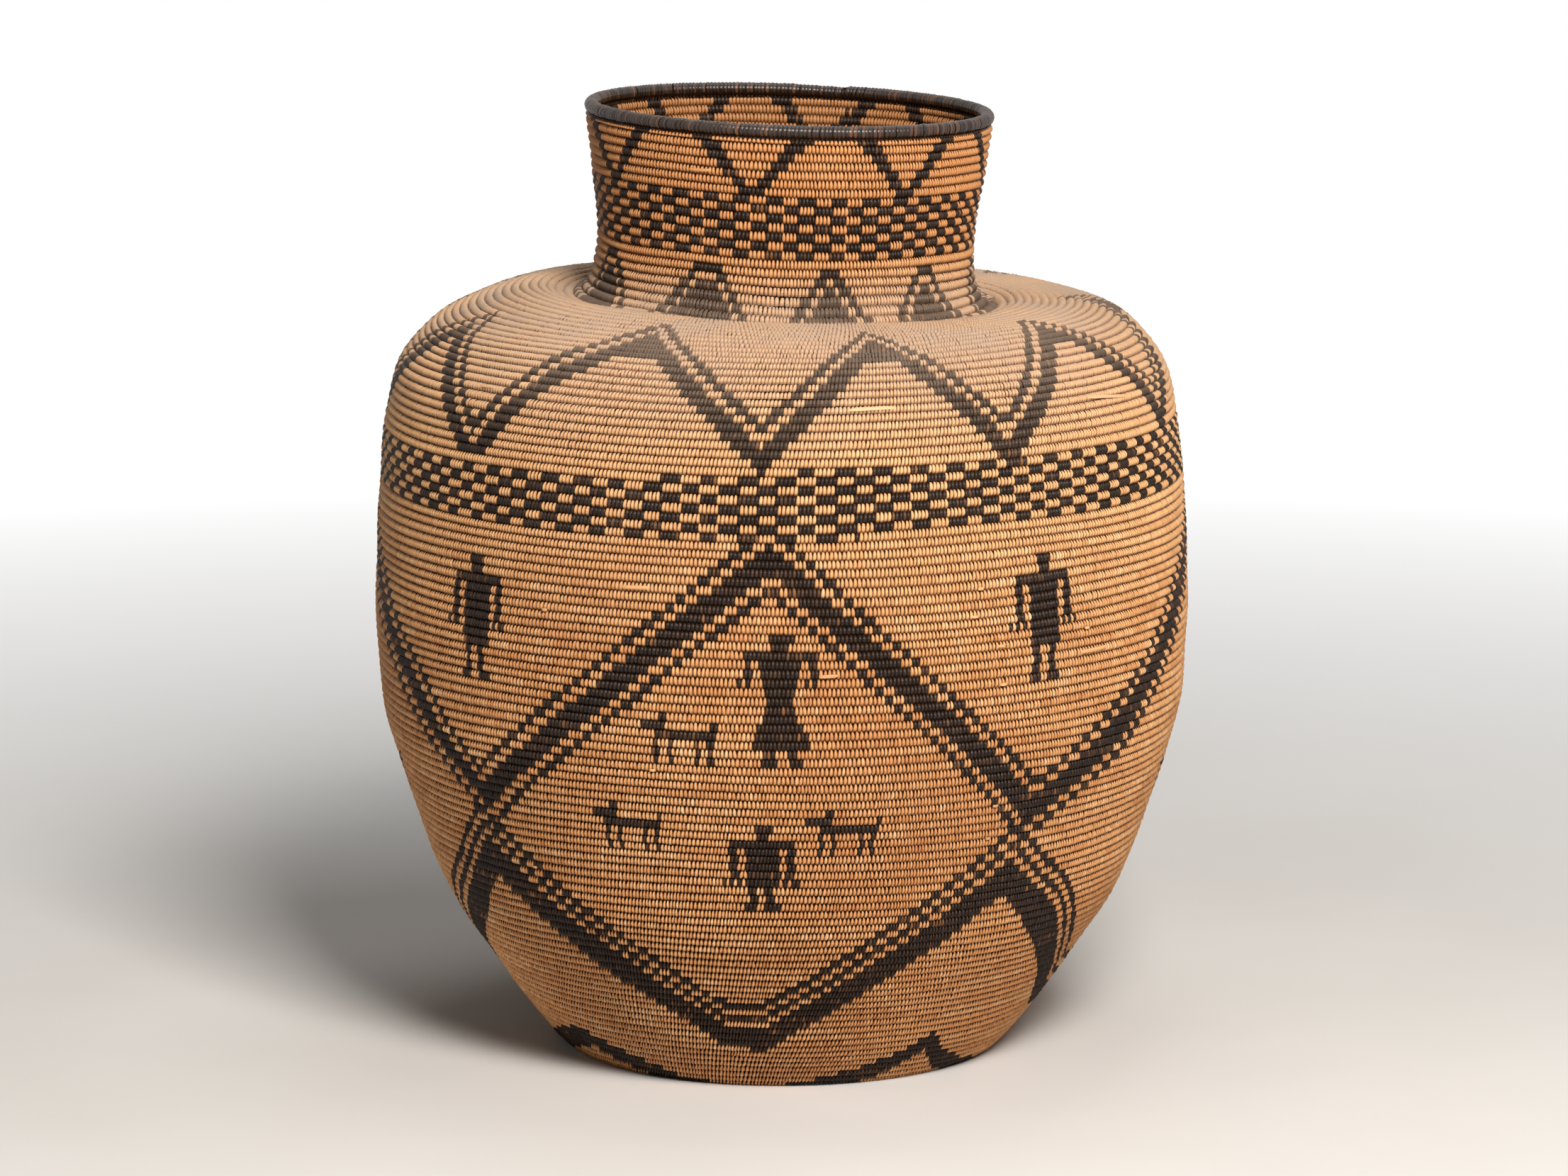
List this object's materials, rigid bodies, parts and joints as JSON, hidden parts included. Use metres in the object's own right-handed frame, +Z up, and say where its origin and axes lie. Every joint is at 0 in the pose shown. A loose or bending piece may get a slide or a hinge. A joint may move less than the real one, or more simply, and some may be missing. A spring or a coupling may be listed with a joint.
{
  "type": "coiled olla basket",
  "caption": "Tall coiled storage basket with a wide belly, low rounded shoulder and straight neck, sewn with dark zigzag, net, check and figure patterns.",
  "frame": {"origin": "on the floor, under the middle of the base", "axes": "+Z up along the basket, +X to the right of the pictured side, +Y away from the viewer"},
  "size_m": [0.4798, 0.4842, 0.5627],
  "materials": {
    "willow_coil": "satin",
    "dark_stitching": "satin",
    "foundation_rod": "matt"
  },
  "bodies": {
    "root": {"start_knot": "willow_coil", "base_coils": "willow_coil", "foot_coils": "willow_coil", "heel_coils": "willow_coil", "base_point_coils": "willow_coil", "lower_zigzag_coils": "willow_coil", "upper_zigzag_coils": "willow_coil", "lower_net_coils": "willow_coil", "upper_net_coils": "willow_coil", "check_band_coils": "willow_coil", "shoulder_zigzag_coils": "willow_coil", "shoulder_top_coils": "willow_coil", "ledge_coils": "willow_coil", "neck_foot_coils": "willow_coil", "neck_check_coils": "willow_coil", "mouth_coils": "willow_coil", "rim_wrapping": "dark_stitching", "coil_end": "dark_stitching", "upper_rim_rod": "foundation_rod", "outer_rim_rod": "foundation_rod", "inner_rim_rod": "foundation_rod"}
  },
  "joints": []
}
